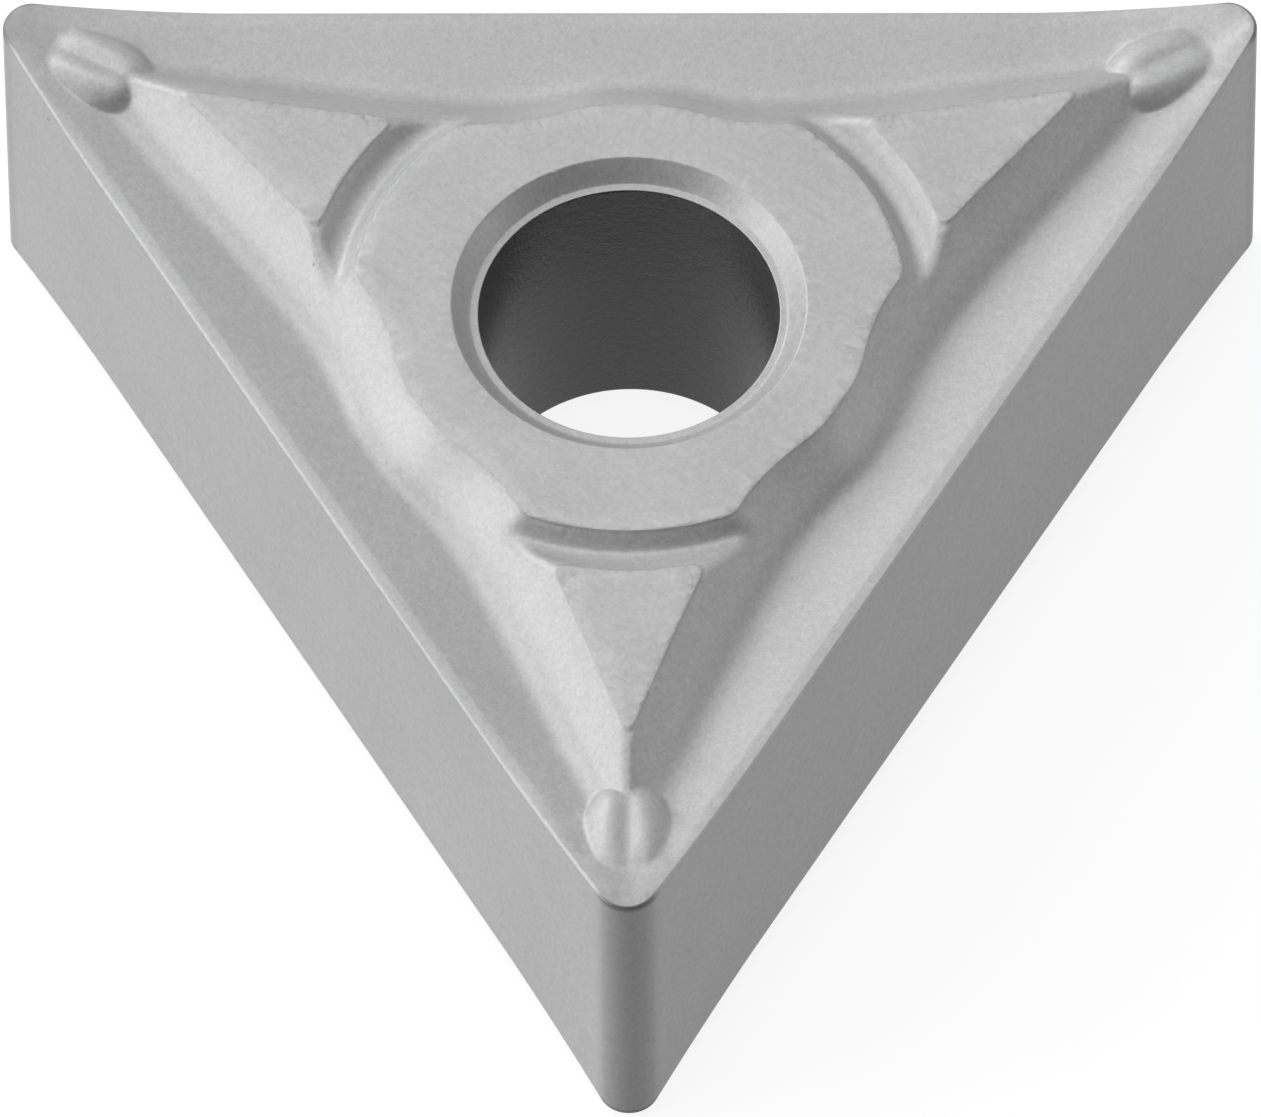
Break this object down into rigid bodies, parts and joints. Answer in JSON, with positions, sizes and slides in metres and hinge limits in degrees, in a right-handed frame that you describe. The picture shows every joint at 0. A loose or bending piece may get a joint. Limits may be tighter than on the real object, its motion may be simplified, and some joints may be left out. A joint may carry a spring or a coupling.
{
  "type": "carbide turning insert",
  "caption": "Triangular double-sided turning insert in sintered carbide, with a moulded chipbreaker on both faces and a clamping hole",
  "frame": {"origin": "on the axis of the clamping hole, at mid thickness", "axes": "+Z along the hole, out of one of the two alike faces; -Y through one nose; +Y square to the opposite side"},
  "size_m": [0.016, 0.0139, 0.0048],
  "materials": {
    "carbide": "matt fine-grained grey, as sintered, with the raised seats ground flat"
  },
  "bodies": {
    "root": {"insert": "carbide"}
  },
  "joints": []
}
